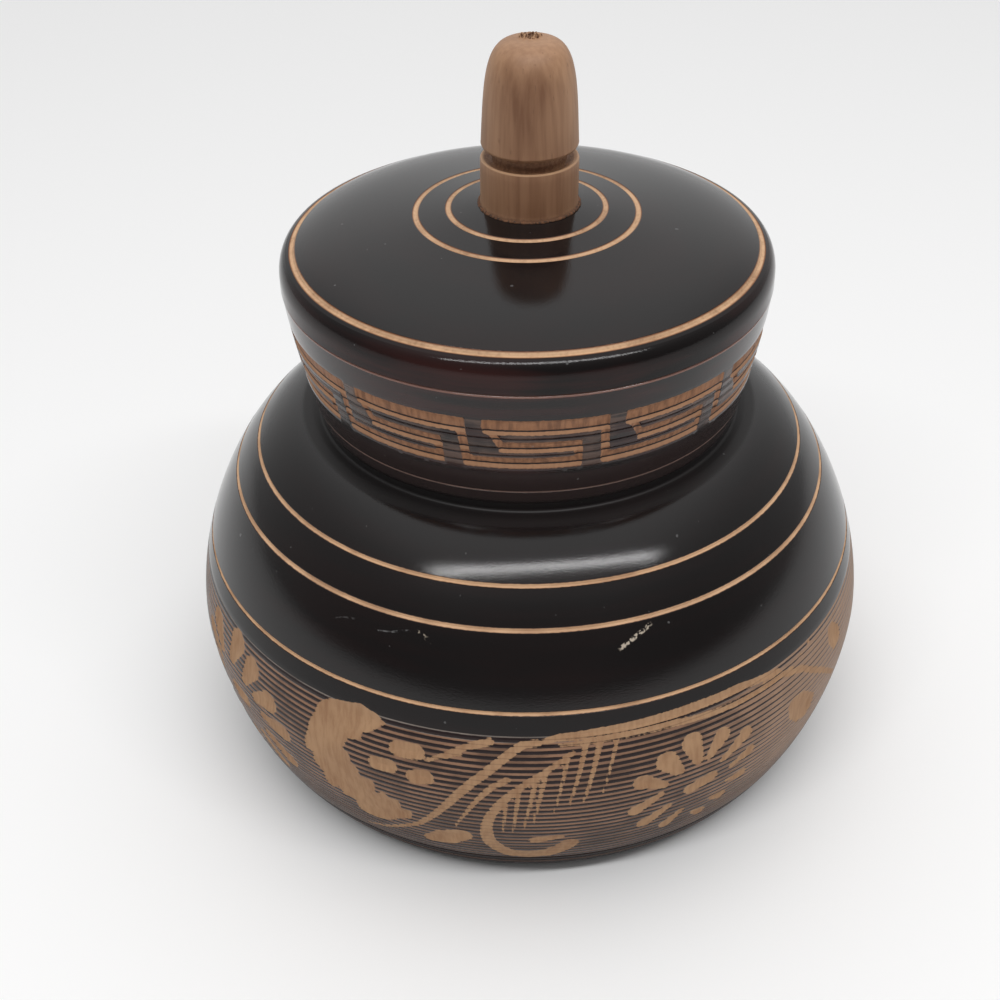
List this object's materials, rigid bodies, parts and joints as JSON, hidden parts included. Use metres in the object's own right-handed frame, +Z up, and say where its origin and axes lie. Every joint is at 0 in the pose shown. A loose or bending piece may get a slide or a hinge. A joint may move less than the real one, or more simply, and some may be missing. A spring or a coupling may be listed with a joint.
{
  "type": "turned wooden trinket box",
  "caption": "Round-bellied turned wooden jar with a flared neck, a lift-off lid that plugs into its mouth, and a turned knob.",
  "frame": {"origin": "centre of the foot, on the surface the box stands on", "axes": "+Z up along the turning axis; +X to the right and -Y towards the viewer of the picture"},
  "size_m": [0.131, 0.131, 0.1399],
  "materials": {
    "lacquered_wood": "gloss black lacquer over turned wood, cut through in bands",
    "bare_wood": "bare turned hardwood, unvarnished"
  },
  "bodies": {
    "jar": {"jar_body": "lacquered_wood", "jar_neck": "lacquered_wood"},
    "lid_and_knob": {"lid": "lacquered_wood", "knob": "bare_wood"}
  },
  "joints": [
    {"name": "lid_lift", "type": "slide", "parent": "jar", "child": "lid_and_knob", "axis": [0, 0, 1], "range_m": [0, 0.08]}
  ]
}
